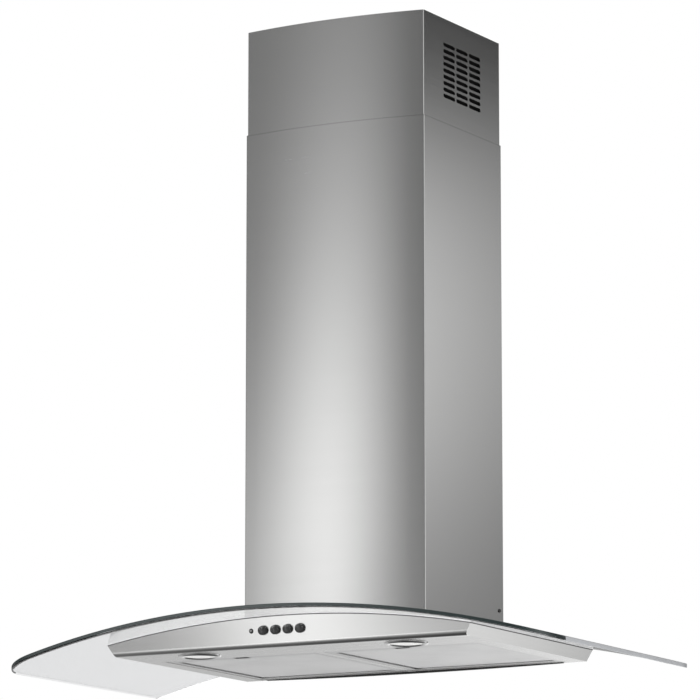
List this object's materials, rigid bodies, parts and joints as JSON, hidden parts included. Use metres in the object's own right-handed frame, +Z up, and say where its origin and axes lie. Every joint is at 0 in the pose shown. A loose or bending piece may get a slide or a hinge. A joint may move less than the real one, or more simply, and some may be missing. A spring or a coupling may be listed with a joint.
{
  "type": "wall mount range hood",
  "caption": "Wall mounted cooker hood with an arched glass canopy, a shallow steel body with push buttons, lamps and grease filters, and a telescopic bow-fronted chimney.",
  "frame": {"origin": "on the wall plane, midway between the two wall screw holes of the chassis", "axes": "+Z up, +Y into the wall, so the front faces -Y, and +X to the right of a person facing the hood"},
  "size_m": [0.898, 0.473, 0.9635],
  "materials": {
    "stainless": "brushed stainless steel sheet",
    "clear_glass": "clear toughened glass with a dark green edge",
    "seal_rubber": "black rubber",
    "screw_steel": "plated steel",
    "galvanised_steel": "galvanised steel sheet",
    "black_plastic": "moulded black plastic",
    "grey_plastic": "moulded grey plastic",
    "motor_can": "die cast and drawn aluminium",
    "button_plastic": "dark grey moulded buttons",
    "pilot_lens": "smoked lens",
    "lamp_chrome": "bright chrome ring",
    "lamp_glass": "frosted lens",
    "lamp_cup": "spun aluminium",
    "filter_aluminium": "aluminium mesh in a rolled frame",
    "latch_plastic": "dark moulded latch"
  },
  "bodies": {
    "root": {"canopy_shell": "stainless", "front_panel": "stainless", "bottom_frame": "stainless", "lower_chimney": "stainless", "glass_canopy": "clear_glass", "glass_seal": "seal_rubber", "glass_bushes": "seal_rubber", "glass_screws": "screw_steel", "chimney_screws": "screw_steel", "damper_pin": "screw_steel", "motor_chassis": "galvanised_steel", "upper_bracket": "galvanised_steel", "motor_bracket": "galvanised_steel", "scroll_left": "black_plastic", "scroll_right": "black_plastic", "switch_block": "black_plastic", "cable_gland": "black_plastic", "outlet_spigot": "grey_plastic", "control_box": "grey_plastic", "control_lid": "grey_plastic", "lamp_driver": "grey_plastic", "motor": "motor_can", "motor_capacitor": "motor_can", "pilot_lens": "pilot_lens", "lamp_bezel_left": "lamp_chrome", "lamp_bezel_right": "lamp_chrome", "lamp_lens_left": "lamp_glass", "lamp_lens_right": "lamp_glass", "lamp_housing_left": "lamp_cup", "lamp_housing_right": "lamp_cup"},
    "upper_cover": {"upper_chimney": "stainless", "vent_louvre_left": "black_plastic", "vent_louvre_right": "black_plastic"},
    "fan": {"impeller": "black_plastic", "motor_shaft": "screw_steel"},
    "rear_flap": {"damper_flap_rear": "grey_plastic"},
    "front_flap": {"damper_flap_front": "grey_plastic"},
    "light_button": {"button_light": "button_plastic"},
    "low_button": {"button_low": "button_plastic"},
    "medium_button": {"button_medium": "button_plastic"},
    "high_button": {"button_high": "button_plastic"},
    "left_filter": {"filter_frame_left": "filter_aluminium", "filter_mesh_left": "filter_aluminium"},
    "left_latch": {"filter_latch_left": "latch_plastic"},
    "right_filter": {"filter_frame_right": "filter_aluminium", "filter_mesh_right": "filter_aluminium"},
    "right_latch": {"filter_latch_right": "latch_plastic"}
  },
  "joints": [
    {"name": "chimney_extend", "type": "slide", "parent": "root", "child": "upper_cover", "axis": [0, 0, 1], "range_m": [-0.155, 0.28]},
    {"name": "fan_spin", "type": "hinge", "parent": "root", "child": "fan", "pos_m": [0, -0.112, -0.1592], "axis": [1, 0, 0], "continuous": true},
    {"name": "rear_flap_swing", "type": "hinge", "parent": "root", "child": "rear_flap", "pos_m": [0, -0.096, 0.014], "axis": [1, 0, 0], "range_deg": [0, 75]},
    {"name": "front_flap_swing", "type": "hinge", "parent": "root", "child": "front_flap", "pos_m": [0, -0.096, 0.014], "axis": [-1, 0, 0], "range_deg": [0, 75]},
    {"name": "light_button_press", "type": "slide", "parent": "root", "child": "light_button", "axis": [0, 0.9824, 0.1867], "range_m": [0, 0.003], "stiffness_N_per_m": 400},
    {"name": "low_button_press", "type": "slide", "parent": "root", "child": "low_button", "axis": [0, 0.9824, 0.1867], "range_m": [0, 0.003], "stiffness_N_per_m": 400},
    {"name": "medium_button_press", "type": "slide", "parent": "root", "child": "medium_button", "axis": [0, 0.9824, 0.1867], "range_m": [0, 0.003], "stiffness_N_per_m": 400},
    {"name": "high_button_press", "type": "slide", "parent": "root", "child": "high_button", "axis": [0, 0.9824, 0.1867], "range_m": [0, 0.003], "stiffness_N_per_m": 400},
    {"name": "left_filter_swing", "type": "hinge", "parent": "root", "child": "left_filter", "pos_m": [-0.1325, -0.0128, -0.3257], "axis": [1, 0, 0], "range_deg": [0, 70]},
    {"name": "left_latch_slide", "type": "slide", "parent": "left_filter", "child": "left_latch", "axis": [0, 1, 0], "range_m": [0, 0.004], "stiffness_N_per_m": 300},
    {"name": "right_filter_swing", "type": "hinge", "parent": "root", "child": "right_filter", "pos_m": [0.1325, -0.0128, -0.3257], "axis": [1, 0, 0], "range_deg": [0, 70]},
    {"name": "right_latch_slide", "type": "slide", "parent": "right_filter", "child": "right_latch", "axis": [0, 1, 0], "range_m": [0, 0.004], "stiffness_N_per_m": 300}
  ]
}
